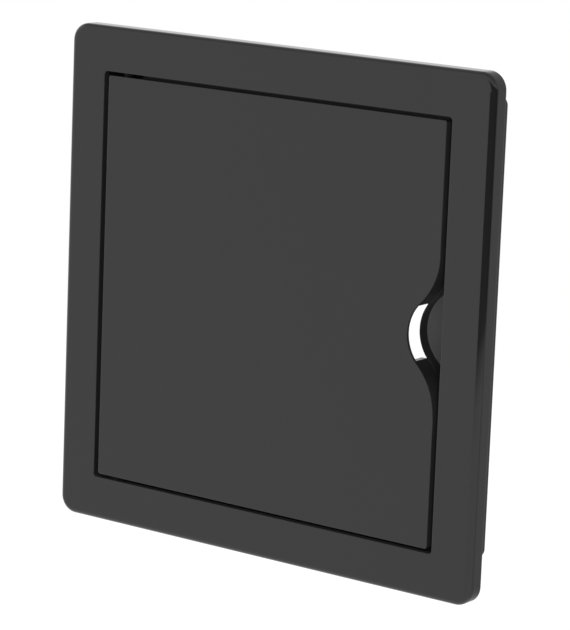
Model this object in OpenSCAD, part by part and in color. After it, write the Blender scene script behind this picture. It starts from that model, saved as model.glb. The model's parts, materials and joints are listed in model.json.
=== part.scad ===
// Hinged access panel: a moulded frame with a flush door, a finger cup and a magnetic catch.
// +X is to the right and +Z up as the closed panel is seen, and the front faces -Y.
// The wall or ceiling surface is the plane Y = 0, and the origin is at the middle of its cut-out.

/* [Frame] */
// Outside width of the collar, the panel's nominal width
collar_w = 150; // [130:1:300]
// Outside height of the collar, the panel's nominal height
collar_h = 150; // [130:1:300]
// How far the collar reaches behind the wall surface
collar_d = 17; // [14:0.5:40]
// Thickness of the collar's wall
collar_t = 1.8; // [1.2:0.1:2.6]
// Outer corner radius of the collar
collar_r = 3; // [2.8:0.1:6]
// How far the bezel laps the wall outside the collar
flange_w = 10; // [8:0.5:20]
// How far the clear opening lies inside the collar's outside
lip_w = 5; // [4:0.1:8]
// Depth of the bezel, from the wall surface to its front face
bezel_d = 6.5; // [5:0.1:9]
// Thickness of the bezel's front wall
bezel_t = 2.5; // [2.3:0.1:3]
// Thickness of the bezel's turned-back edge
skirt_t = 2; // [1.5:0.1:3]
// Outer corner radius of the bezel
bezel_r = 6; // [4:0.1:8]
// Radius of the bezel's rounded front edge
edge_r = 2.2; // [0.6:0.1:2.3]
// Corner radius of the clear opening
opening_r = 1.2; // [0.4:0.1:3]
// Thickness of the ribs behind the bezel
rib_t = 1.2; // [0.8:0.1:2]
// Distance from one rib behind the bezel to the next
rib_pitch = 28; // [15:1:50]
// How far those ribs stop short of the wall surface
rib_relief = 1; // [0.5:0.1:2]

/* [Door] */
// Gap between the door and the opening at the hinge side and the free side
gap_side = 2; // [1.6:0.1:3]
// Gap between the door and the opening at the top and the bottom
gap_end = 1.4; // [0.8:0.1:3]
// Thickness of the door's front wall
door_t = 2; // [1.6:0.1:3]
// Depth of the door's turned-back rim, from its front face
rim_d = 5.3; // [4.6:0.1:6]
// Thickness of the door's rim
rim_t = 1.6; // [1.2:0.1:2.4]
// Corner radius of the door
door_r = 0.8; // [0.3:0.1:1.2]
// Thickness of the ribs on the door's back
door_rib_t = 1.2; // [0.8:0.1:2]
// Height of those ribs above the back of the front wall
door_rib_h = 2; // [1:0.1:2.5]
// Distance between the two ribs that run the same way
door_rib_gap = 68; // [60:1:90]
// Radius of the round ejector marks on the door's back
ejector_r = 3; // [2:0.1:3.2]
// Depth of those marks
ejector_d = 0.2; // [0.1:0.05:0.4]
// Distance of the inner marks from the door's middle, and of the outer marks from the inner ones
ejector_pitch = 25; // [22:0.5:26]

/* [Finger notch] */
// Depth of the notch in the door's free edge
notch_depth = 11.2; // [8:0.1:14]
// Radius at the bottom of the notch
notch_r = 13.7; // [10:0.1:16]
// Radius of the notch's two shoulders
shoulder_r = 22.2; // [15:0.1:26]
// Height of the cut-out in the rim behind which a fingertip hooks
window_h = 17.8; // [12:0.1:22]
// Thickness of the door's front wall where the fingertip hooks
hook_t = 1; // [0.8:0.1:1.4]
// How far that thin place reaches in from the bottom of the notch
hook_reach = 4; // [2.5:0.1:6]
// Depth of the finger cup's rim behind the door's front face
cup_rim_d = 7.6; // [6.5:0.1:8]
// Depth of the finger cup's floor behind the door's front face
cup_floor_d = 11.4; // [10.5:0.1:14]
// Wall thickness of the finger cup
cup_t = 1.5; // [1:0.1:2]
// Thickness of the cup's thin lip, where its wall ends behind the door
cup_lip_t = 0.4; // [0.4:0.1:1]
// Height of that lip
cup_lip_h = 2.4; // [1:0.1:2.8]
// Gap between that lip and the wall that the door has along the notch
cup_gap = 0.4; // [0.3:0.1:0.8]
// Length of the finger cup's foot along the collar
cup_foot_h = 66; // [62:1:80]
// Radius of the pegs that fasten the cup to the collar
peg_r = 2; // [1.5:0.1:2.2]
// Radial clearance of those pegs
peg_clear = 0.05; // [0.02:0.01:0.2]

/* [Hinge] */
// Distance of the hinge axis from the door's hinge-side edge
hinge_inset = 5; // [4.8:0.1:6]
// Distance of the hinge axis behind the door's front face
hinge_depth = 4; // [3.6:0.1:4.2]
// Radius of the hinge pins
pin_r = 1.5; // [1:0.1:1.8]
// Running clearance of the pins in the frame, on the radius
pin_clear = 0.05; // [0.02:0.01:0.1]
// Length of a hinge pin
pin_l = 17; // [12:0.5:24]
// Wall round the pin in the frame's lugs
lug_wall = 1.7; // [1.2:0.1:2.4]
// Clearance between the door's edge and a lug
lug_gap = 1.5; // [0.4:0.1:2]
// Depth of the pin's socket in a lug
socket_l = 3.5; // [2.5:0.1:3.6]
// Wall round the pin in the door's knuckles
knuckle_wall = 1.5; // [1:0.1:2]
// Length of a knuckle
knuckle_l = 12; // [8:0.5:20]
// Height of the shelf across each hinge-side corner of the collar
shelf_h = 9; // [8:0.5:14]
// Corner radius of that shelf
shelf_r = 3; // [1:0.1:5]
// Clearance between the turning door's edge and that shelf
swing_clear = 0.4; // [0.3:0.1:1]

/* [Catch] */
// Distance of the catches from the door's free edge and its ends
catch_inset = 7.8; // [7.2:0.1:12]
// Radius of a magnet
magnet_r = 4; // [3:0.1:5]
// Thickness of a magnet
magnet_t = 3; // [2:0.1:4]
// Wall round and behind a magnet
magnet_wall = 1.4; // [1:0.1:2]
// Thickness of the stop behind the door and of the corner seats that carry the magnets
seat_t = 2; // [1.5:0.1:3]
// How far the stop laps the closed door's rim
stop_lap = 1.6; // [1:0.1:3]
// Air gap between the closed door and its stop
catch_gap = 0.4; // [0.3:0.1:0.8]
// Radius of a strike plate
strike_r = 5; // [4:0.1:6]
// Thickness of a strike plate
strike_t = 1; // [0.8:0.1:1.5]
// Radius of a strike screw's shank
screw_r = 1.1; // [0.8:0.1:1.5]
// Radius of a strike screw's countersunk head
screw_head_r = 2.1; // [1.8:0.1:2.6]
// Length of a strike screw under the strike plate
screw_l = 3; // [2:0.1:3.2]

/* [Fixing holes] */
// Distance between the two screw holes in the top or the bottom of the collar
fixing_spacing = 100; // [60:1:120]
// Radius of those holes
fixing_r = 2.1; // [1.5:0.1:3]
// Distance of those holes behind the wall surface
fixing_y = 10; // [7:0.5:14]

/* [Hidden] */
$fn = 96;
// How far one solid of a node reaches into the next so that the two are one body
weld = 0.3;
// How far a cut reaches past the surface that it opens
cut = 1;

frame_w = collar_w + 2 * flange_w;
frame_h = collar_h + 2 * flange_w;
inside_w = collar_w - 2 * collar_t;
inside_h = collar_h - 2 * collar_t;
opening_w = collar_w - 2 * lip_w;
opening_h = collar_h - 2 * lip_w;
door_w = opening_w - 2 * gap_side;
door_h = opening_h - 2 * gap_end;

front_y = -bezel_d;
plate_back_y = front_y + bezel_t;
door_back_y = front_y + door_t;
rim_back_y = front_y + rim_d;
cup_rim_y = front_y + cup_rim_d;
cup_floor_y = front_y + cup_floor_d;
cup_back_y = cup_floor_y + cup_t;
notch_wall_y = cup_rim_y - cup_gap;
peg_y = (cup_rim_y + cup_back_y) / 2;
peg_z = cup_foot_h / 2 - peg_r - cup_t;

hinge_x = -door_w / 2 + hinge_inset;
hinge_y = front_y + hinge_depth;
lug_r = pin_r + pin_clear + lug_wall;
lug_z = door_h / 2 + lug_gap;
pin_end_clear = 0.3;
pin_top_z = lug_z + socket_l - pin_end_clear;
pin_chamfer = 0.4;
knuckle_r = pin_r + knuckle_wall;
knuckle_z = door_h / 2 - knuckle_l;
swing_r = sqrt(pow(hinge_inset, 2) + pow(hinge_depth, 2));
shelf_y = hinge_y + swing_r + swing_clear;

catch_x = door_w / 2 - catch_inset;
catch_z = door_h / 2 - catch_inset;
seat_y = rim_back_y + catch_gap;
seat_r = magnet_r + magnet_wall;
stop_clear = 0.5;
ledge_clear = 0.4;
strike_y = rim_back_y - strike_t;
screw_tip_y = strike_y - screw_l;
magnet_chamfer = 0.3;

// The notch: an arc at the bottom that runs into a shoulder arc on each side
edge_x = door_w / 2;
notch_x = edge_x - notch_depth + notch_r;
shoulder_x = edge_x - shoulder_r;
// How far those arcs overlap, so that they cross each other instead of only touching
arc_lap = 0.02;
arc_sum = notch_r + shoulder_r - arc_lap;
shoulder_z = sqrt(pow(arc_sum, 2) - pow(notch_x - shoulder_x, 2));

// Stands an outline drawn in X and Z upright, and gives it the depth from y0 to y1
module upright(y0, y1) {
    translate([0, y1, 0]) rotate([90, 0, 0]) linear_extrude(y1 - y0) children();
}

// A cylinder along Y from y0 to y1, which may taper
module rod_y(x, z, y0, y1, r0, r1) {
    translate([x, y0, z]) rotate([-90, 0, 0]) cylinder(h = y1 - y0, r1 = r0, r2 = r1);
}

module both_ends() {
    children();
    mirror([0, 0, 1]) children();
}

module rounded_outline(w, h, r) {
    square([w, h - 2 * r], center = true);
    square([w - 2 * r, h], center = true);
    for (sx = [-1, 1], sz = [-1, 1])
        translate([sx * (w / 2 - r), sz * (h / 2 - r)]) circle(r);
}

// The open space of the finger notch, made larger all round by grow, out to the collar
module notch_outline(grow) {
    difference() {
        polygon([
            [notch_x, 0], [shoulder_x, shoulder_z], [inside_w / 2, shoulder_z],
            [inside_w / 2, -shoulder_z], [shoulder_x, -shoulder_z],
        ]);
        for (s = [-1, 1]) translate([shoulder_x, s * shoulder_z]) circle(shoulder_r - grow);
    }
    intersection() {
        translate([notch_x, 0]) circle(notch_r + grow);
        translate([0, -frame_h / 2]) square([inside_w / 2, frame_h]);
    }
}

module door_outline(inset) {
    difference() {
        rounded_outline(door_w - 2 * inset, door_h - 2 * inset, max(door_r - inset, door_r / 2));
        notch_outline(inset);
    }
}

// Cross-section of the bezel's outer edge: x runs out to the edge, y back from the front face
module bezel_section() {
    difference() {
        union() {
            square([bezel_r, bezel_t]);
            translate([bezel_r - skirt_t, 0]) square([skirt_t, bezel_d]);
        }
        difference() {
            translate([bezel_r - edge_r, -cut]) square([edge_r + cut, edge_r + cut]);
            translate([bezel_r - edge_r, edge_r]) circle(edge_r);
            translate([bezel_r - edge_r - cut, -2 * cut]) square([cut, edge_r + 3 * cut]);
        }
    }
}

module bezel() {
    run_w = frame_w - 2 * bezel_r;
    run_h = frame_h - 2 * bezel_r;
    upright(front_y, plate_back_y) difference() {
        square([run_w, run_h], center = true);
        rounded_outline(opening_w, opening_h, opening_r);
    }
    for (side = [0, 1]) mirror([side, 0, 0]) {
        translate([run_w / 2, front_y, -run_h / 2]) linear_extrude(run_h) bezel_section();
        for (end = [0, 1]) mirror([0, 0, end])
            translate([run_w / 2, front_y, run_h / 2])
                rotate([-90, 0, 0]) rotate([0, 0, -90]) rotate_extrude(angle = 90) bezel_section();
    }
    for (end = [0, 1]) mirror([0, 0, end])
        translate([run_w / 2, front_y, run_h / 2])
            rotate([0, -90, 0]) linear_extrude(run_w) bezel_section();
}

module collar() {
    upright(plate_back_y - weld, collar_d) difference() {
        rounded_outline(collar_w, collar_h, collar_r);
        rounded_outline(inside_w, inside_h, collar_r - collar_t);
    }
}

// Ribs across the channel between the collar and the bezel's edge, along one side of a given length
module channel_ribs(length, from_middle) {
    count = floor(length / 2 / rib_pitch);
    for (i = [-count:count])
        translate([i * rib_pitch - rib_t / 2, plate_back_y - weld, from_middle - weld])
            cube([rib_t, -rib_relief - plate_back_y + weld, flange_w - skirt_t + 2 * weld]);
}

// The block at the collar's hinge-side corner that holds the end of a hinge pin
module hinge_lug() {
    top_z = inside_h / 2 + weld;
    left_x = -inside_w / 2 - weld;
    translate([0, 0, lug_z]) linear_extrude(top_z - lug_z) intersection() {
        union() {
            translate([hinge_x, hinge_y]) circle(lug_r);
            translate([left_x, front_y]) square([hinge_x - left_x, hinge_y + lug_r - front_y]);
            translate([left_x, front_y]) square([hinge_x + lug_r - left_x, hinge_y - front_y]);
        }
        translate([left_x, plate_back_y - weld]) square([frame_w, bezel_d + collar_d]);
    }
}

// The shelf across the collar's hinge-side corner, set back behind the path of the door's edge
module hinge_shelf() {
    left_x = -inside_w / 2 - weld;
    right_x = hinge_x + hinge_inset;
    top_z = inside_h / 2 + weld;
    low_z = inside_h / 2 - shelf_h;
    upright(shelf_y, shelf_y + seat_t) {
        translate([left_x, low_z]) square([right_x - shelf_r - left_x, top_z - low_z]);
        translate([left_x, low_z + shelf_r]) square([right_x - left_x, top_z - low_z - shelf_r]);
        translate([right_x - shelf_r, low_z + shelf_r]) circle(shelf_r);
    }
}

// The stop behind the door's rim along one half of the free side and its end. Over the hinge it
// goes on as a ledge past the door's end, out of the way of the turning door
module door_stop() {
    inner_x = door_w / 2 - stop_lap;
    inner_z = door_h / 2 - stop_lap;
    start_x = hinge_x + hinge_inset;
    ledge_z = door_h / 2 + ledge_clear;
    upright(seat_y, seat_y + seat_t) {
        translate([start_x, inner_z])
            square([inside_w / 2 + weld - start_x, inside_h / 2 + weld - inner_z]);
        translate([inner_x, cup_foot_h / 2 + stop_clear])
            square([inside_w / 2 + weld - inner_x, inner_z - cup_foot_h / 2 - stop_clear + weld]);
        translate([-inside_w / 2 - weld, ledge_z])
            square([start_x + inside_w / 2 + 2 * weld, inside_h / 2 + weld - ledge_z]);
    }
}

// The shelf across the collar's free-side corner, with the cup that a magnet is pressed into
module magnet_seat() {
    upright(seat_y, seat_y + seat_t) {
        translate([catch_x, catch_z]) circle(seat_r);
        translate([catch_x - seat_r, catch_z])
            square([inside_w / 2 + weld - catch_x + seat_r, inside_h / 2 + weld - catch_z]);
        translate([catch_x, catch_z - seat_r])
            square([inside_w / 2 + weld - catch_x, inside_h / 2 + weld - catch_z + seat_r]);
    }
    rod_y(catch_x, catch_z, seat_y, seat_y + magnet_t + magnet_wall, seat_r, seat_r);
}

module frame() {
    color("#404142") difference() {
        union() {
            bezel();
            collar();
            both_ends() {
                channel_ribs(collar_w, collar_h / 2);
                hinge_lug();
                hinge_shelf();
                door_stop();
                magnet_seat();
            }
            for (turn = [-90, 90]) rotate([0, turn, 0]) channel_ribs(collar_h, collar_w / 2);
        }
        both_ends() {
            translate([hinge_x, hinge_y, door_h / 2])
                cylinder(h = lug_gap + socket_l, r = pin_r + pin_clear);
            rod_y(catch_x, catch_z, seat_y - cut, seat_y + magnet_t, magnet_r, magnet_r);
            for (s = [-1, 1]) translate([s * fixing_spacing / 2, fixing_y, inside_h / 2 - cut])
                cylinder(h = collar_t + 2 * cut, r = fixing_r);
            translate([inside_w / 2 - cut, peg_y, peg_z]) rotate([0, 90, 0])
                cylinder(h = collar_t + 2 * cut, r = peg_r + peg_clear);
        }
    }
}

// The outside of the finger cup where its wall has the thickness t
module cup_outline(t) {
    notch_outline(t);
    for (s = [-1, 1]) translate([edge_x - t, s * (shoulder_z + t / 2) - t / 2])
        square([inside_w / 2 - edge_x + t, t]);
}

// The recess behind the notch: a bell-shaped tray on a foot that is pegged to the collar
module finger_cup() {
    lip_end_y = cup_rim_y + cup_lip_h;
    color("#404142") {
        difference() {
            union() {
                upright(cup_rim_y, lip_end_y + weld) cup_outline(cup_lip_t);
                upright(lip_end_y, cup_back_y) cup_outline(cup_t);
            }
            upright(cup_rim_y - cut, cup_floor_y) notch_outline(0);
        }
        translate([inside_w / 2 - cup_t, cup_rim_y, -cup_foot_h / 2])
            cube([cup_t, cup_back_y - cup_rim_y, cup_foot_h]);
        both_ends() translate([inside_w / 2 - cup_t / 2, peg_y, peg_z]) rotate([0, 90, 0])
            cylinder(h = collar_t + cup_t / 2, r = peg_r);
    }
}

module knuckle() {
    translate([hinge_x, hinge_y, knuckle_z]) cylinder(h = knuckle_l - door_r, r = knuckle_r);
    translate([hinge_x - knuckle_r, door_back_y - weld, knuckle_z])
        cube([2 * knuckle_r, hinge_y - door_back_y + weld, knuckle_l - door_r]);
}

module door() {
    rib_top_y = door_back_y + door_rib_h;
    color("#404142") difference() {
        union() {
            difference() {
                upright(front_y, rim_back_y) door_outline(0);
                upright(door_back_y, rim_back_y + cut) door_outline(rim_t);
            }
            upright(rim_back_y - weld, notch_wall_y) difference() {
                notch_outline(rim_t);
                notch_outline(0);
            }
            upright(door_back_y - weld, rib_top_y) for (s = [-1, 1]) {
                translate([s * door_rib_gap / 2, 0]) square([door_rib_t, door_h - rim_t], center = true);
                translate([0, s * door_rib_gap / 2]) square([door_w - rim_t, door_rib_t], center = true);
            }
            both_ends() {
                knuckle();
                rod_y(catch_x, catch_z, door_back_y - weld, strike_y, strike_r, strike_r);
            }
        }
        translate([edge_x - notch_depth - hook_reach, front_y + hook_t, -window_h / 2])
            cube([hook_reach + notch_r, notch_wall_y - front_y, window_h]);
        for (i = [1, 2], sx = [-1, 1], sz = [-1, 1])
            rod_y(i * sx * ejector_pitch, i * sz * ejector_pitch,
                  door_back_y - ejector_d, rib_top_y, ejector_r, ejector_r);
        both_ends() {
            translate([hinge_x, hinge_y, knuckle_z - cut]) cylinder(h = knuckle_l + 2 * cut, r = pin_r);
            rod_y(catch_x, catch_z, screw_tip_y, strike_y + cut, screw_r, screw_r);
        }
    }
}

module hinge_pin() {
    color("#262728") translate([hinge_x, hinge_y, pin_top_z - pin_l]) {
        cylinder(h = pin_chamfer, r1 = pin_r - pin_chamfer, r2 = pin_r);
        translate([0, 0, pin_chamfer]) cylinder(h = pin_l - 2 * pin_chamfer, r = pin_r);
        translate([0, 0, pin_l - pin_chamfer])
            cylinder(h = pin_chamfer, r1 = pin_r, r2 = pin_r - pin_chamfer);
    }
}

module magnet() {
    color("#c9cbce") {
        rod_y(catch_x, catch_z, seat_y, seat_y + magnet_chamfer, magnet_r - magnet_chamfer, magnet_r);
        rod_y(catch_x, catch_z, seat_y + magnet_chamfer, seat_y + magnet_t, magnet_r, magnet_r);
    }
}

module strike_plate() {
    color("#a9acb0") difference() {
        rod_y(catch_x, catch_z, strike_y, rim_back_y, strike_r, strike_r);
        rod_y(catch_x, catch_z, strike_y - cut, rim_back_y, screw_r, screw_r);
        rod_y(catch_x, catch_z, rim_back_y - screw_head_r + screw_r, rim_back_y, screw_r, screw_head_r);
    }
}

module strike_screw() {
    rod_y(catch_x, catch_z, screw_tip_y, rim_back_y - screw_head_r + screw_r, screw_r, screw_r);
    rod_y(catch_x, catch_z, rim_back_y - screw_head_r + screw_r, rim_back_y, screw_r, screw_head_r);
}

module strike_screws() {
    color("#b8babd") both_ends() strike_screw();
}

frame();
finger_cup();
door();
hinge_pin();  // upper_hinge_pin
mirror([0, 0, 1]) hinge_pin();  // lower_hinge_pin
magnet();  // upper_magnet
mirror([0, 0, 1]) magnet();  // lower_magnet
strike_plate();  // upper_strike_plate
mirror([0, 0, 1]) strike_plate();  // lower_strike_plate
strike_screws();
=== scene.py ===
"""Looks of the hinged access panel: its plastics, steels and plating, the studio and the camera."""

import json
import math

import bmesh
import bpy
from mathutils import Matrix, Quaternion, Vector


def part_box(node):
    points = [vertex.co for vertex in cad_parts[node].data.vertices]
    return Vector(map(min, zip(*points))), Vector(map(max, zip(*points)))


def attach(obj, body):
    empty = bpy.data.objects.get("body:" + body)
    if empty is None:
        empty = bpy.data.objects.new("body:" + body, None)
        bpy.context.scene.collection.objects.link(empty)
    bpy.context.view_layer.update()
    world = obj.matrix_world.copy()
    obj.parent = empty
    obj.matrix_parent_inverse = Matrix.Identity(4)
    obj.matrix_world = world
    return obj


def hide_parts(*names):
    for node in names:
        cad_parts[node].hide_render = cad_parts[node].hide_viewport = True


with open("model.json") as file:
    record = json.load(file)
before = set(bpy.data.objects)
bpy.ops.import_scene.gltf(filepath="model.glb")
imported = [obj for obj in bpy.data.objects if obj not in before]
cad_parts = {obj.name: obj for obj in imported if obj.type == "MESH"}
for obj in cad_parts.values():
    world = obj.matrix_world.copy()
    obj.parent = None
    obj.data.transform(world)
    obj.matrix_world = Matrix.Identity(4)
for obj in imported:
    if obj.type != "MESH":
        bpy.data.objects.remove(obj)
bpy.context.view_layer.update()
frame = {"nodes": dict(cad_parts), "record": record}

MM = 0.001

# The photograph's camera, in the panel's own frame: metres, and pixels of the photograph
PHOTO_W, PHOTO_H = 570, 630
CAMERA_AT = Vector((0.5994, -0.8108, 0.1989))
CAMERA_AIM = Vector((0.00644, -0.0065, 0.00841))
CAMERA_ROLL = math.radians(2.232)
FOCAL_PX = 3136
AXIS_X_PX, AXIS_Y_PX = 280.4, 283.5

# Linear colours: the polished plastic and its rubbed edges, its unpolished faces, which are painted lighter
# as painted light, the metals, and white
ANTHRACITE = (0.0116, 0.0116, 0.0119)
ANTHRACITE_WORN = (0.022, 0.022, 0.023)
# Painted light: the walls inside the collar are lighter than the plastic, and those that look up lighter
# still
INNER_WALL_PAINTED_LIGHT = (0.0165, 0.0165, 0.0168)
UPWARD_WALL_PAINTED_LIGHT = (0.036, 0.036, 0.037)
# Painted light: the door's sides that look to its free edge are lighter than the plastic
FREE_EDGE_PAINTED_LIGHT = (0.022, 0.022, 0.0225)
# Painted light: the cup's floor is a pale grey, far lighter than the plastic, so that it looks as bright as
# the front
CUP_FLOOR_PAINTED_LIGHT = (0.087, 0.087, 0.087)
BLACKENED = (0.014, 0.014, 0.015)
SCREW_ZINC = (0.62, 0.62, 0.63)
NICKEL = (0.68, 0.67, 0.64)
ZINC = (0.55, 0.56, 0.58)
WHITE = (1.0, 1.0, 1.0)

# Noise: the range that most of it lies in, and its stretch along the three axes
NOISE_RANGE = (0.3, 0.7)
UNSTRETCHED = (1.0, 1.0, 1.0)

# The plastic's surface. Cells are counts of noise cells per metre.
POLISHED_ROUGHNESS = 0.07
SATIN_ROUGHNESS = 0.27
MATT_ROUGHNESS = 0.6
PLASTIC_GLOSS = 0.47
SHEEN_CELLS = 60
SHEEN_LEAST, SHEEN_MOST = 0.7, 1.3
GRAIN_CELLS = 3200
GRAIN_STRENGTH = 0.04
GRAIN_HEIGHT = 0.02 * MM
FLOW_CELLS = 22
FLOW_STRETCH = (1.0, 1.0, 0.35)
FLOW_SHARE = 0.12
EDGE_R = 0.35 * MM
RUB_STARTS, RUB_FULL = 0.99, 0.75
RUB_SHARE = 0.6
RUB_CELLS = 90
RUB_LEAST = 0.2
FLECK_CELLS = 2400
FLECK_SHADE = 0.9

# Where the plastic is unpolished and painted lighter as painted light: the cup's floor, the walls inside the
# collar, and faces that look one way
MATT_FROM_Y = 3 * MM
INNER_HALF = 74 * MM
FACING_STARTS, FACING_FULL = 0.8, 0.95

# The metals' surface
METAL_EDGE_R = 0.12 * MM
LINE_HEIGHT = 0.01 * MM
LINE_SMOOTHER, LINE_ROUGHER = 0.06, 0.08
DULL_CELLS = 350
DULL_SHARE = 0.25
DULL_SHADE = 0.72

# The strike screws: a countersunk head with a cross recess, on a threaded shank
SCREW_SIDES = 32
SCREW_SHANK_R = 1.1 * MM
SCREW_RIM = 0.08 * MM
SCREW_POINT = 0.5
SCREW_SHARP = math.radians(35)
THREAD_PITCH = 0.8 * MM
THREAD_DEPTH = 0.3 * MM
THREAD_ROWS = 8
RECESS_ARM = 1.35 * MM
RECESS_WIDTH = 0.6 * MM
RECESS_DEPTH = 0.9 * MM
RECESS_TAPER = 0.45

# The frame's rebate: a ribbed ledge behind the gap at the hinge side, and the two ends of the door's stop
COLLAR_WALL = 1.8 * MM
SWING_CLEAR = 0.4 * MM
LEDGE_W = 8.2 * MM
LEDGE_T = 2.0 * MM
LEDGE_ROUND = 0.8 * MM
ROUND_STEPS = 4
LEDGE_TO_SHELF = 4.4 * MM
WEB_PITCH = 28 * MM
WEB_T = 1.2 * MM
WEB_W = 6.0 * MM
WEB_DEPTH = 5.0 * MM
STOP_LAP = 1.6 * MM
STOP_GAP = 0.4 * MM
STOP_T = 1.8 * MM
STOP_END_LOW = 26.6 * MM
STOP_END_HIGH = 33.6 * MM
STOP_CHAMFER = 0.5 * MM
MOULDED_IN = 0.2 * MM

# The studio: white to the camera and soft light from all round
FLOOR_Z = -0.9
FLOOR_R = 4.1
FLOOR_SIDES = 96
FLOOR_WHITE = 0.85
FLOOR_GLOW = 0.8
FLOOR_GLOW_LEVEL = 1.25
WORLD_LIGHT = 0.4

# What mirrors show of the room, in degrees: a dark wall on the right, low and wide, with a tall stretch
# whose top slopes down to the back, a dim back, and a dim ceiling. A bearing of 0 is to the panel's right,
# 90 behind it and -90 in front. Each four bounds are where a patch starts, is full, starts to end and ends.
WALL_BEARINGS = (-100, -96, 28, 52)
WALL_ELEVATIONS = (-12.4, -11.3, -6.2, -2.0)
WALL_TILT = 0.007
TALL_BEARINGS = (-84, -76, 28, 52)
TALL_BASE = (-8, -5)
TALL_TOP = (21, 12)
TALL_SLOPE = -0.3
BACK_BEARINGS = (5, 40, 108, 122)
BACK_ELEVATIONS = (-60, -45, 45, 60)
BACK_DIM = 0.45
CEILING_ELEVATIONS = (28, 42, 90, 91)
CEILING_DEPTHS = (-0.6, 0.0)
CEILING_DIM = 0.5


def add_node(tree, kind, inputs=None, **settings):
    """A new node. An input is a value, or another node's output to link from."""
    node = tree.nodes.new(kind)
    for name, value in settings.items():
        setattr(node, name, value)
    for name, value in (inputs or {}).items():
        if isinstance(value, bpy.types.NodeSocket):
            tree.links.new(value, node.inputs[name])
        else:
            node.inputs[name].default_value = value
    return node


def rgba(colour):
    return (*colour, 1.0)


def darker(colour, share):
    return tuple(share * level for level in colour)


def math_node(tree, operation, first, second=0.0):
    return add_node(tree, "ShaderNodeMath", {0: first, 1: second}, operation=operation).outputs[0]


def new_material(name):
    """An empty node material with its surface output, and the tree to build it in."""
    material = bpy.data.materials.new(name)
    material.use_nodes = True
    tree = material.node_tree
    tree.nodes.clear()
    return material, tree, tree.nodes.new("ShaderNodeOutputMaterial")


def object_noise(tree, cells, detail, stretch=UNSTRETCHED):
    """Noise in the panel's own frame, so that it moves with the piece, with so many cells per metre."""
    coords = add_node(tree, "ShaderNodeTexCoord").outputs["Object"]
    mapped = add_node(tree, "ShaderNodeMapping", {"Vector": coords, "Scale": stretch}).outputs[0]
    noise = add_node(tree, "ShaderNodeTexNoise", {"Vector": mapped, "Scale": cells, "Detail": detail})
    return noise.outputs["Fac"]


def spread(tree, value, low, high, start=NOISE_RANGE[0], end=NOISE_RANGE[1]):
    """Takes a value that runs from start to end, as most noise does, to the range from low to high."""
    inputs = {"Value": value, "From Min": start, "From Max": end, "To Min": low, "To Max": high}
    return add_node(tree, "ShaderNodeMapRange", inputs).outputs[0]


def mixed(tree, factor, first, second):
    """A colour between two, each a value or another node's output."""
    node = add_node(tree, "ShaderNodeMix", {"Factor": factor}, data_type="RGBA")
    colours = [socket for socket in node.inputs if socket.type == "RGBA"]
    for socket, value in zip(colours, (first, second)):
        if isinstance(value, bpy.types.NodeSocket):
            tree.links.new(value, socket)
        else:
            socket.default_value = rgba(value)
    return next(socket for socket in node.outputs if socket.type == "RGBA")


def bumped(tree, height, strength, distance, normal):
    inputs = {"Height": height, "Strength": strength, "Distance": distance, "Normal": normal}
    return add_node(tree, "ShaderNodeBump", inputs).outputs[0]


def facing(tree, axis, sign):
    """1 on the faces that look along an axis, forwards or backwards by the sign, and 0 on the others."""
    normal = add_node(tree, "ShaderNodeTexCoord").outputs["Normal"]
    along = add_node(tree, "ShaderNodeSeparateXYZ", {0: normal}).outputs[axis]
    return spread(tree, along, 0.0, 1.0, sign * FACING_STARTS, sign * FACING_FULL)


def front_facing(tree):
    """1 on the faces that look out of the wall, and 0 on the others."""
    return facing(tree, "Y", -1)


def not_front_facing(tree):
    return math_node(tree, "SUBTRACT", 1.0, front_facing(tree))


def place_axes(tree):
    """The X, Y and Z of the place on the piece, in the panel's own frame."""
    place = add_node(tree, "ShaderNodeTexCoord").outputs["Object"]
    return add_node(tree, "ShaderNodeSeparateXYZ", {0: place}).outputs


def inside_collar(tree):
    """1 on what lies within the collar's walls, as seen from the front, and 0 on the rest."""
    axis = place_axes(tree)
    across, up = (math_node(tree, "ABSOLUTE", axis[name]) for name in ("X", "Z"))
    return math_node(tree, "LESS_THAN", math_node(tree, "MAXIMUM", across, up), INNER_HALF)


def roughened(tree, rough, mask, roughness):
    """A roughness that is no less than a given one where a mask is 1."""
    return math_node(tree, "MAXIMUM", rough, math_node(tree, "MULTIPLY", mask, roughness))


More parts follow.
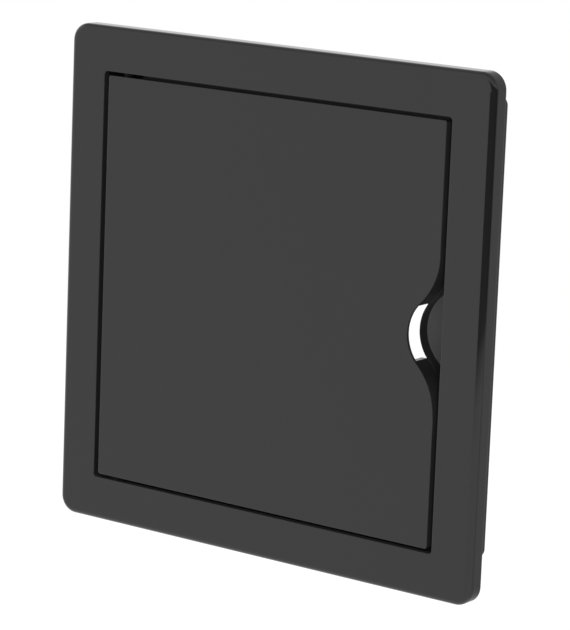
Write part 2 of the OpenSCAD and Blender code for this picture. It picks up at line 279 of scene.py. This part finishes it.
def moulded_plastic(name, matt_painted_lit_floor=False, dull_painted_lit_walls=False, dull_painted_lit_sides=False):
    """Polished moulded plastic: a fine grain, faint flow marks, and edges that handling has rubbed lighter.

    Three options leave faces unpolished, and paint light onto them: with the floor option the deep ones that
    look to the front, which are a pale matt whose paleness is painted light; with the walls option those
    inside the collar that don't look to the front, painted lighter as painted light, and lighter still where
    they look up; and with the sides option all that don't look to the front, with painted light on those that
    look to the free edge.
    """
    material, tree, output = new_material(name)
    soft_edge = add_node(tree, "ShaderNodeBevel", {"Radius": EDGE_R}, samples=6).outputs[0]
    face = add_node(tree, "ShaderNodeNewGeometry").outputs["Normal"]
    turned = add_node(tree, "ShaderNodeVectorMath", {0: soft_edge, 1: face}, operation="DOT_PRODUCT")
    rubbed = spread(tree, turned.outputs["Value"], 0.0, RUB_SHARE, RUB_STARTS, RUB_FULL)
    patchy = spread(tree, object_noise(tree, RUB_CELLS, 4), RUB_LEAST, 1.0)
    flow = object_noise(tree, FLOW_CELLS, 3, FLOW_STRETCH)
    shade = mixed(tree, spread(tree, flow, 0.0, FLOW_SHARE), ANTHRACITE, ANTHRACITE_WORN)
    shade = mixed(tree, math_node(tree, "MULTIPLY", rubbed, patchy), shade, ANTHRACITE_WORN)
    sheen = spread(tree, object_noise(tree, SHEEN_CELLS, 4), SHEEN_LEAST, SHEEN_MOST)
    rough = math_node(tree, "MULTIPLY", sheen, POLISHED_ROUGHNESS)
    if matt_painted_lit_floor:
        deep = math_node(tree, "GREATER_THAN", place_axes(tree)["Y"], MATT_FROM_Y)
        matt_and_painted_lit_floor = math_node(tree, "MULTIPLY", front_facing(tree), deep)
        flecks = object_noise(tree, FLECK_CELLS, 2)
        # Painted light: the deep faces that look to the front get a pale grey with darker flecks, lighter
        # than the plastic so that they look as bright as the front
        shade = mixed(tree, matt_and_painted_lit_floor, shade, mixed(tree, flecks, CUP_FLOOR_PAINTED_LIGHT, darker(CUP_FLOOR_PAINTED_LIGHT, FLECK_SHADE)))
        rough = roughened(tree, rough, matt_and_painted_lit_floor, MATT_ROUGHNESS)
    if dull_painted_lit_walls:
        walls = math_node(tree, "MULTIPLY", inside_collar(tree), not_front_facing(tree))
        # Painted light: walls inside the collar are painted lighter than the plastic, and lighter still where
        # they look up
        shade = mixed(tree, walls, shade, mixed(tree, facing(tree, "Z", 1), INNER_WALL_PAINTED_LIGHT, UPWARD_WALL_PAINTED_LIGHT))
        rough = roughened(tree, rough, walls, SATIN_ROUGHNESS)
    if dull_painted_lit_sides:
        # Painted light: the sides that look to the free edge are painted lighter than the plastic
        shade = mixed(tree, facing(tree, "X", 1), shade, FREE_EDGE_PAINTED_LIGHT)
        rough = roughened(tree, rough, not_front_facing(tree), SATIN_ROUGHNESS)
    grain = object_noise(tree, GRAIN_CELLS, 2)
    shader = add_node(tree, "ShaderNodeBsdfPrincipled", {
        "Base Color": shade,
        "Roughness": rough,
        "Specular IOR Level": PLASTIC_GLOSS,
        "Normal": bumped(tree, grain, GRAIN_STRENGTH, GRAIN_HEIGHT, soft_edge),
    })
    tree.links.new(shader.outputs[0], output.inputs["Surface"])
    return material


def plated_metal(name, colour, roughness, cells, scratch, stretch=UNSTRETCHED, metallic=1.0, gloss=0.5):
    """Bare or plated metal with fine drawn or rolled lines and patches that are a little duller."""
    material, tree, output = new_material(name)
    lines = object_noise(tree, cells, 4, stretch)
    dull = spread(tree, object_noise(tree, DULL_CELLS, 3), 0.0, DULL_SHARE)
    edge = add_node(tree, "ShaderNodeBevel", {"Radius": METAL_EDGE_R}, samples=4).outputs[0]
    shader = add_node(tree, "ShaderNodeBsdfPrincipled", {
        "Base Color": mixed(tree, dull, colour, darker(colour, DULL_SHADE)),
        "Metallic": metallic,
        "Specular IOR Level": gloss,
        "Roughness": spread(tree, lines, roughness - LINE_SMOOTHER, roughness + LINE_ROUGHER),
        "Normal": bumped(tree, lines, scratch, LINE_HEIGHT, edge),
    })
    tree.links.new(shader.outputs[0], output.inputs["Surface"])
    return material


def dress(node, material):
    data = frame["nodes"][node].data
    data.materials.clear()
    data.materials.append(material)


def close_rings(shape, rings):
    """Adds a closed tube to a bmesh from rings of as many points each, which run up its axis."""
    rows = [[shape.verts.new(point) for point in ring] for ring in rings]
    for low_row, high_row in zip(rows, rows[1:]):
        for i, corner in enumerate(low_row):
            after = (i + 1) % len(low_row)
            shape.faces.new((corner, low_row[after], high_row[after], high_row[i]))
    shape.faces.new(reversed(rows[0]))
    shape.faces.new(rows[-1])


def mesh_object(name, shape):
    """An object in the scene with the mesh of a bmesh, which is used up."""
    mesh = bpy.data.meshes.new(name)
    shape.to_mesh(mesh)
    shape.free()
    made = bpy.data.objects.new(name, mesh)
    bpy.context.scene.collection.objects.link(made)
    return made


def on_circle(radius, turn, z):
    angle = math.tau * turn
    return Vector((radius * math.cos(angle), radius * math.sin(angle), z))


def screw_rings(length, head_r):
    """Rings of a screw that points down from z = 0: a helical thread, and then the head's cone and face."""
    cone_h = head_r - SCREW_SHANK_R
    thread_l = length - cone_h
    row_count = round(thread_l / THREAD_PITCH * THREAD_ROWS)
    rings = []
    for row in range(row_count + 1):
        up = thread_l * row / row_count
        point_taper = min(1.0, SCREW_POINT + (1 - SCREW_POINT) * up / THREAD_PITCH)
        ring = []
        for side in range(SCREW_SIDES):
            turn = side / SCREW_SIDES
            phase = (up / THREAD_PITCH - turn) % 1.0
            radius = (SCREW_SHANK_R - THREAD_DEPTH * abs(2 * phase - 1)) * point_taper
            ring.append(on_circle(radius, turn, up - length))
        rings.append(ring)
    for radius, z in (
        (SCREW_SHANK_R, -cone_h), (head_r, -SCREW_RIM), (head_r, -SCREW_RIM / 2), (head_r - SCREW_RIM, 0.0),
    ):
        rings.append([on_circle(radius, side / SCREW_SIDES, z) for side in range(SCREW_SIDES)])
    return rings


def recess_rings():
    """Rings of the cross-shaped cutter, which narrows towards the bottom of the recess."""
    arm, side = RECESS_ARM, RECESS_WIDTH / 2
    quarter = [Vector((arm, -side, 0)), Vector((arm, side, 0)), Vector((side, side, 0))]
    cross = [Matrix.Rotation(math.radians(90 * i), 3, "Z") @ corner for i in range(4) for corner in quarter]
    levels = ((RECESS_TAPER, -RECESS_DEPTH), (1.0, 0.0), (1.0, SCREW_RIM))
    return [[corner * scale + Vector((0, 0, z)) for corner in cross] for scale, z in levels]


def ring_object(name, rings, places):
    """An object with a copy of the closed rings at each place."""
    shape = bmesh.new()
    for place in places:
        close_rings(shape, [[place @ point for point in ring] for ring in rings])
    return mesh_object(name, shape)


def make_strike_screws(material):
    """The two screws that hold the strike plates, at the places of the CAD ones."""
    box_low, box_high = (Vector(corner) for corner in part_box("strike_screws"))
    head_r = (box_high.x - box_low.x) / 2
    middle_x = (box_high.x + box_low.x) / 2
    facing_back = Matrix.Rotation(math.radians(-90), 4, "X")
    places = [
        Matrix.Translation((middle_x, box_high.y, z)) @ facing_back
        for z in (box_low.z + head_r, box_high.z - head_r)
    ]
    screws = ring_object("cross_head_screws", screw_rings(box_high.y - box_low.y, head_r), places)
    cutter = ring_object("recess_cutter", recess_rings(), places)
    recess = screws.modifiers.new("recess", "BOOLEAN")
    recess.operation = "DIFFERENCE"
    recess.solver = "EXACT"
    recess.object = cutter
    graph = bpy.context.evaluated_depsgraph_get()
    mesh = bpy.data.meshes.new_from_object(screws.evaluated_get(graph))
    screws.modifiers.clear()
    screws.data = mesh
    bpy.data.objects.remove(cutter)
    mesh.polygons.foreach_set("use_smooth", [True] * len(mesh.polygons))
    mesh.set_sharp_from_angle(angle=SCREW_SHARP)
    mesh.materials.clear()
    mesh.materials.append(material)
    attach(screws, "door_assembly")
    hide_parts("strike_screws")


def upright_rings(outline, low_z, high_z):
    """The two end rings of a prism with an outline of X, Y points."""
    return [[Vector((x, y, z)) for x, y in outline] for z in (low_z, high_z)]


def moulded_piece(name, prisms, material):
    """A piece of the frame's moulding, made of prisms that run into one another."""
    shape = bmesh.new()
    for rings in prisms:
        close_rings(shape, rings)
    bmesh.ops.recalc_face_normals(shape, faces=shape.faces)
    piece = mesh_object(name, shape)
    piece.data.materials.append(material)
    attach(piece, "frame_assembly")


def make_hinge_ledge(material):
    """The ledge along the collar's hinge side, just behind the path of the turning door's edge."""
    hinge = Vector(frame["record"]["behaviour"]["joints"][0]["pos_m"])
    door_low, door_high = (Vector(corner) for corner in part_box("door"))
    wall_x = COLLAR_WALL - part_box("finger_cup")[1][0]
    swing_r = math.hypot(door_low.x - hinge.x, door_low.y - hinge.y)
    front_y = hinge.y + swing_r + SWING_CLEAR
    back_y = front_y + LEDGE_T
    round_x = wall_x + LEDGE_W - LEDGE_ROUND
    root_x = wall_x - MOULDED_IN
    half_h = door_high.z - LEDGE_TO_SHELF
    outline = [(root_x, back_y), (root_x, front_y)]
    for round_y, start in ((front_y + LEDGE_ROUND, -90), (back_y - LEDGE_ROUND, 0)):
        for step in range(ROUND_STEPS + 1):
            angle = math.radians(start + 90 * step / ROUND_STEPS)
            outline.append((round_x + LEDGE_ROUND * math.cos(angle), round_y + LEDGE_ROUND * math.sin(angle)))
    prisms = [upright_rings(outline, -half_h, half_h)]
    web_y = back_y - MOULDED_IN
    web = [
        (root_x, web_y), (wall_x + WEB_W, web_y), (wall_x + WEB_W, back_y + WEB_T),
        (wall_x + WEB_T, back_y + WEB_DEPTH), (root_x, back_y + WEB_DEPTH),
    ]
    count = int(half_h / WEB_PITCH)
    for i in range(-count, count + 1):
        prisms.append(upright_rings(web, i * WEB_PITCH - WEB_T / 2, i * WEB_PITCH + WEB_T / 2))
    moulded_piece("hinge_side_ledge", prisms, material)


def make_stop_ends(material):
    """The stop behind the door's free edge, where it goes on past the foot of the finger cup."""
    door_high = Vector(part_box("door")[1])
    wall_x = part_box("finger_cup")[1][0] - COLLAR_WALL + MOULDED_IN
    lap_x = door_high.x - STOP_LAP
    front_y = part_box("upper_strike_plate")[1][1] + STOP_GAP
    back_y = front_y + STOP_T
    outline = [
        (wall_x, front_y), (wall_x, back_y), (lap_x + STOP_CHAMFER, back_y),
        (lap_x, back_y - STOP_CHAMFER), (lap_x, front_y),
    ]
    prisms = [
        upright_rings(outline, STOP_END_LOW, STOP_END_HIGH),
        upright_rings(outline, -STOP_END_HIGH, -STOP_END_LOW),
    ]
    moulded_piece("stop_ends", prisms, material)


def seen_or_mirrored(tree):
    """1 for camera, glossy and transmission rays, and 0 for the rays that light other things."""
    path = add_node(tree, "ShaderNodeLightPath").outputs
    either = math_node(tree, "MAXIMUM", path["Is Camera Ray"], path["Is Glossy Ray"])
    return math_node(tree, "MAXIMUM", either, path["Is Transmission Ray"])


def smooth_step(tree, value, start, end):
    inputs = {"Value": value, "From Min": start, "From Max": end}
    return add_node(tree, "ShaderNodeMapRange", inputs, interpolation_type="SMOOTHSTEP").outputs[0]


def between(tree, value, bounds):
    """Rises from 0 to 1 between the first two bounds, and falls back to 0 between the last two."""
    risen = smooth_step(tree, value, bounds[0], bounds[1])
    return math_node(tree, "MULTIPLY", risen, smooth_step(tree, value, bounds[3], bounds[2]))


def patch(tree, bearing, bearings, elevation, elevations):
    return math_node(tree, "MULTIPLY", between(tree, bearing, bearings), between(tree, elevation, elevations))


def mirror_room(tree):
    """How dark the room is in each direction, as mirrors show it."""
    direction = add_node(tree, "ShaderNodeTexCoord").outputs["Generated"]
    axis = add_node(tree, "ShaderNodeSeparateXYZ", {0: direction}).outputs
    bearing = math_node(tree, "DEGREES", math_node(tree, "ARCTAN2", axis["Y"], axis["X"]))
    elevation = math_node(tree, "DEGREES", math_node(tree, "ARCSINE", axis["Z"]))
    tilted = math_node(tree, "SUBTRACT", elevation, math_node(tree, "MULTIPLY", bearing, WALL_TILT))
    wall = patch(tree, bearing, WALL_BEARINGS, tilted, WALL_ELEVATIONS)
    sloped = math_node(tree, "SUBTRACT", elevation, math_node(tree, "MULTIPLY", bearing, TALL_SLOPE))
    above_base = smooth_step(tree, elevation, *TALL_BASE)
    tall = math_node(tree, "MULTIPLY", above_base, smooth_step(tree, sloped, *TALL_TOP))
    tall = math_node(tree, "MULTIPLY", tall, between(tree, bearing, TALL_BEARINGS))
    back = patch(tree, bearing, BACK_BEARINGS, elevation, BACK_ELEVATIONS)
    overhead = smooth_step(tree, axis["Y"], *CEILING_DEPTHS)
    ceiling = math_node(tree, "MULTIPLY", overhead, between(tree, elevation, CEILING_ELEVATIONS))
    dark = math_node(tree, "MAXIMUM", wall, tall)
    dim = math_node(tree, "MULTIPLY", back, BACK_DIM)
    dim = math_node(tree, "MAXIMUM", dim, math_node(tree, "MULTIPLY", ceiling, CEILING_DIM))
    return math_node(tree, "MAXIMUM", dark, dim)


def either_shader(tree, factor, first, second, output):
    """Links a mix of two shaders to the surface of an output."""
    mix = add_node(tree, "ShaderNodeMixShader", {0: factor, 1: first.outputs[0], 2: second.outputs[0]})
    tree.links.new(mix.outputs[0], output.inputs["Surface"])


def make_world():
    """White to the camera. Mirrors show the room, and everything else gets its soft light."""
    world = bpy.data.worlds.new("studio")
    bpy.context.scene.world = world
    world.use_nodes = True
    tree = world.node_tree
    tree.nodes.clear()
    output = tree.nodes.new("ShaderNodeOutputWorld")
    path = add_node(tree, "ShaderNodeLightPath").outputs
    dark = math_node(tree, "MULTIPLY", mirror_room(tree), path["Is Glossy Ray"])
    level = math_node(tree, "SUBTRACT", 1.0, dark)
    light = add_node(tree, "ShaderNodeBackground", {"Color": rgba(WHITE), "Strength": WORLD_LIGHT})
    shown = add_node(tree, "ShaderNodeBackground", {"Color": rgba(WHITE), "Strength": level})
    either_shader(tree, seen_or_mirrored(tree), light, shown, output)


def make_floor():
    """A pale floor that is lit like the background where the camera or a mirror sees it."""
    material, tree, output = new_material("floor_white")
    pale = add_node(tree, "ShaderNodeBsdfDiffuse", {"Color": rgba((FLOOR_WHITE,) * 3)})
    glow = add_node(tree, "ShaderNodeEmission", {"Color": rgba(WHITE), "Strength": FLOOR_GLOW_LEVEL})
    share = math_node(tree, "MULTIPLY", seen_or_mirrored(tree), FLOOR_GLOW)
    either_shader(tree, share, pale, glow, output)
    shape = bmesh.new()
    bmesh.ops.create_circle(shape, cap_ends=True, segments=FLOOR_SIDES, radius=FLOOR_R)
    floor = mesh_object("floor", shape)
    floor.data.materials.append(material)
    floor.location = (0, 0, FLOOR_Z)
    floor.visible_glossy = False


def add_softbox(name, azimuth, elevation, distance, size, watts):
    """A square area lamp that faces the panel. Azimuth 0 is in front of the panel, and 90 to its right."""
    a, e = math.radians(azimuth), math.radians(elevation)
    place = Vector((math.sin(a) * math.cos(e), -math.cos(a) * math.cos(e), math.sin(e))) * distance
    lamp = bpy.data.lights.new(name, "AREA")
    lamp.size = size
    lamp.energy = watts
    softbox = bpy.data.objects.new(name, lamp)
    softbox.location = place
    softbox.rotation_mode = "QUATERNION"
    softbox.rotation_quaternion = (-place).to_track_quat("-Z", "Y")
    softbox.visible_glossy = False
    bpy.context.scene.collection.objects.link(softbox)


def make_camera():
    """The photograph's camera. Its lens and shifts are worked out from the taller side of the picture."""
    data = bpy.data.cameras.new("camera")
    data.lens = FOCAL_PX / PHOTO_H * data.sensor_width
    data.shift_x = (PHOTO_W / 2 - AXIS_X_PX) / PHOTO_H
    data.shift_y = (AXIS_Y_PX - PHOTO_H / 2) / PHOTO_H
    camera = bpy.data.objects.new("camera", data)
    camera.location = CAMERA_AT
    camera.rotation_mode = "QUATERNION"
    straight = (CAMERA_AIM - CAMERA_AT).to_track_quat("-Z", "Y")
    camera.rotation_quaternion = straight @ Quaternion((0, 0, 1), CAMERA_ROLL)
    bpy.context.scene.collection.objects.link(camera)
    bpy.context.scene.camera = camera


make_camera()
make_world()
make_floor()
add_softbox("key", azimuth=36, elevation=16, distance=1.6, size=0.8, watts=18)
add_softbox("back", azimuth=205, elevation=25, distance=1.8, size=1.0, watts=18)
bpy.context.scene.view_settings.view_transform = "Standard"

plastic = moulded_plastic("anthracite_plastic", dull_painted_lit_walls=True)
door_plastic = moulded_plastic("door_plastic", dull_painted_lit_sides=True)
cup_plastic = moulded_plastic("cup_plastic", matt_painted_lit_floor=True)
pin_black = plated_metal(
    "pin_black", BLACKENED, roughness=0.45, cells=2500, scratch=0.3, stretch=(1.0, 1.0, 0.02),
    metallic=0.0, gloss=0.12)
screw_zinc = plated_metal("screw_zinc", SCREW_ZINC, roughness=0.30, cells=1600, scratch=0.15)
magnet_nickel = plated_metal("magnet_nickel", NICKEL, roughness=0.16, cells=900, scratch=0.1)
strike_zinc = plated_metal(
    "strike_zinc", ZINC, roughness=0.32, cells=1800, scratch=0.25, stretch=(1.0, 1.0, 0.05))

dress("frame", plastic)
dress("door", door_plastic)
dress("finger_cup", cup_plastic)
for end in ("upper", "lower"):
    dress(f"{end}_hinge_pin", pin_black)
    dress(f"{end}_magnet", magnet_nickel)
    dress(f"{end}_strike_plate", strike_zinc)
make_strike_screws(screw_zinc)
make_hinge_ledge(plastic)
make_stop_ends(plastic)
